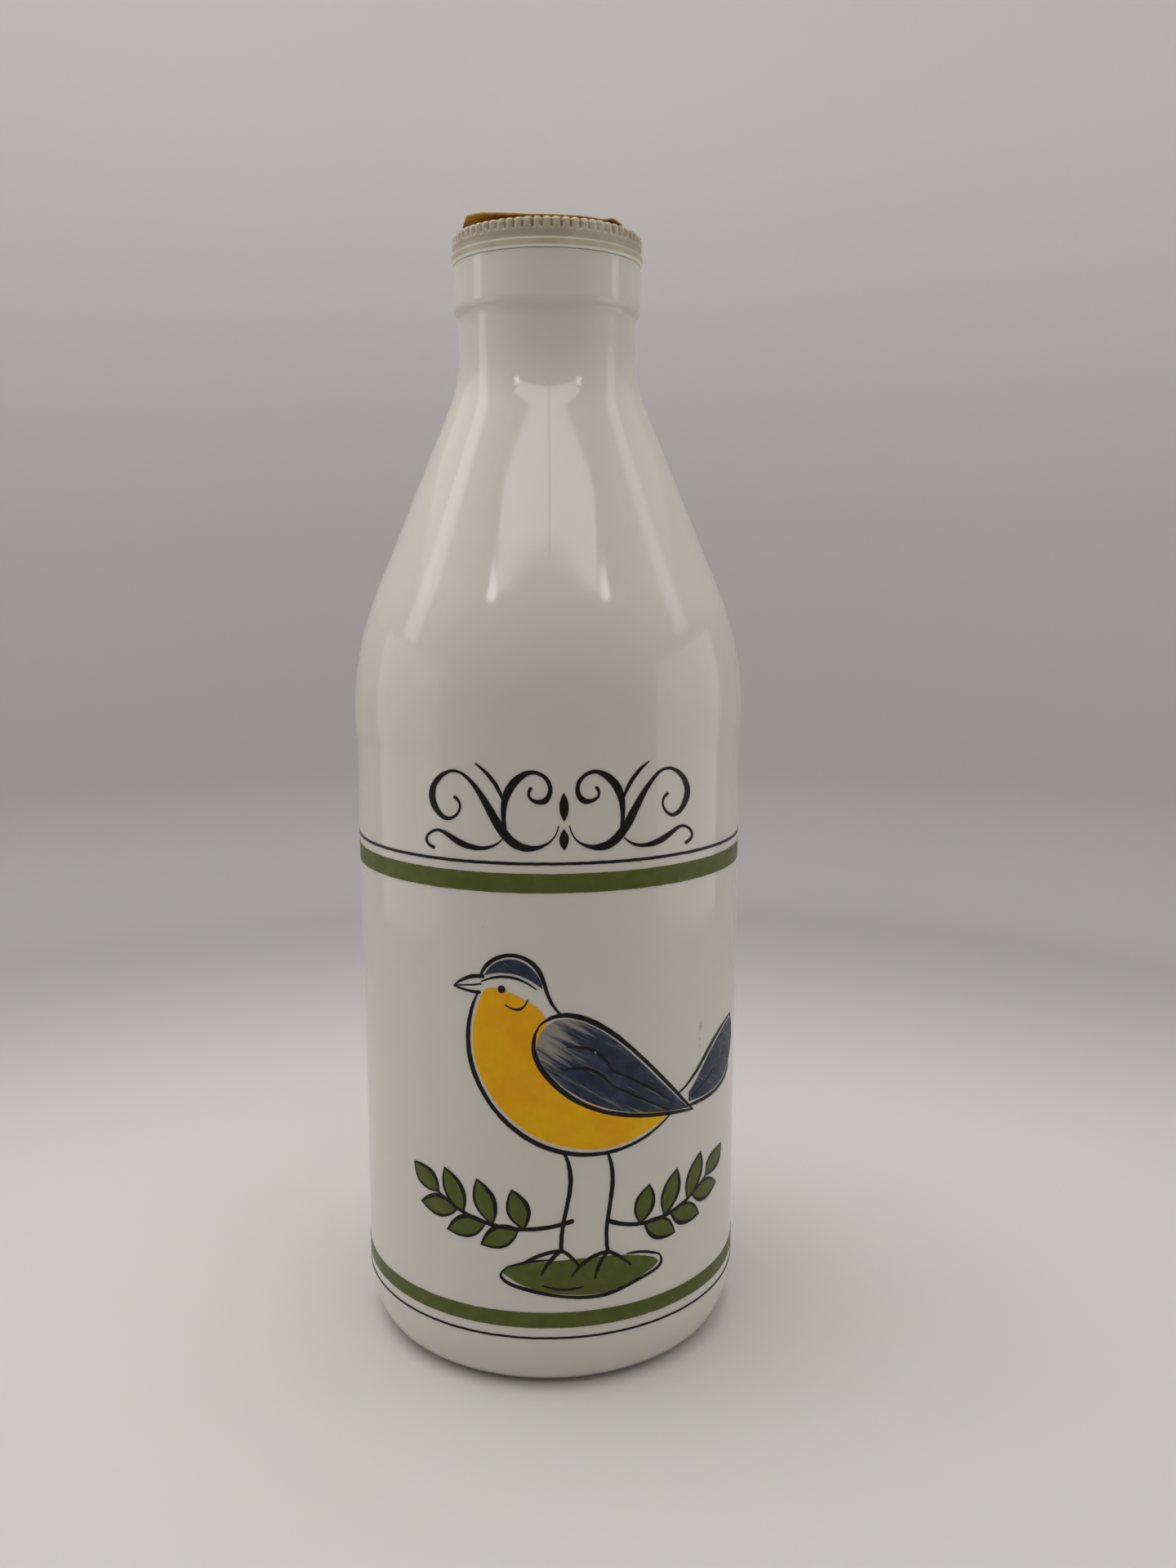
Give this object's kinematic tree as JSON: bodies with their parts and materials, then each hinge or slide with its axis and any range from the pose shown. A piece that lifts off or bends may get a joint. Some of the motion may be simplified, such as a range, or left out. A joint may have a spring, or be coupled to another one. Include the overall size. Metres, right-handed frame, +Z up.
{
  "type": "milk bottle",
  "caption": "White opal glass milk bottle with a conical shoulder and short collared neck, a push-in plastic stopper and a fired enamel print of a songbird.",
  "frame": {"origin": "on the bottle's axis, on the surface that the bottle stands on", "axes": "+Z up along the bottle's axis; the print faces -Y, and +X is to the right as one looks at it"},
  "size_m": [0.0908, 0.0908, 0.256],
  "materials": {
    "opal_glass": "gloss, opaque white opal",
    "stopper_plastic": "translucent ivory, satin",
    "brown_film": "amber brown, satin",
    "black_enamel": "fired enamel, satin gloss",
    "green_enamel": "fired enamel, satin gloss",
    "yellow_enamel": "fired enamel, satin gloss",
    "blue_enamel": "fired enamel, brushed, satin gloss"
  },
  "bodies": {
    "bottle": {"glass_bottle": "opal_glass", "upper_black_line": "black_enamel", "upper_green_band": "green_enamel", "lower_green_band": "green_enamel", "lower_black_line": "black_enamel", "scroll_ornament": "black_enamel", "bird_outline": "black_enamel", "bird_yellow": "yellow_enamel", "bird_blue": "blue_enamel", "left_sprig_line": "black_enamel", "left_sprig_green": "green_enamel", "right_sprig_line": "black_enamel", "right_sprig_green": "green_enamel", "ground_line": "black_enamel", "ground_green": "green_enamel"},
    "stopper": {"stopper": "stopper_plastic", "top_disc": "brown_film"}
  },
  "joints": [
    {"name": "stopper_lift", "type": "slide", "parent": "bottle", "child": "stopper", "axis": [0, 0, 1], "range_m": [0, 0.08]}
  ]
}
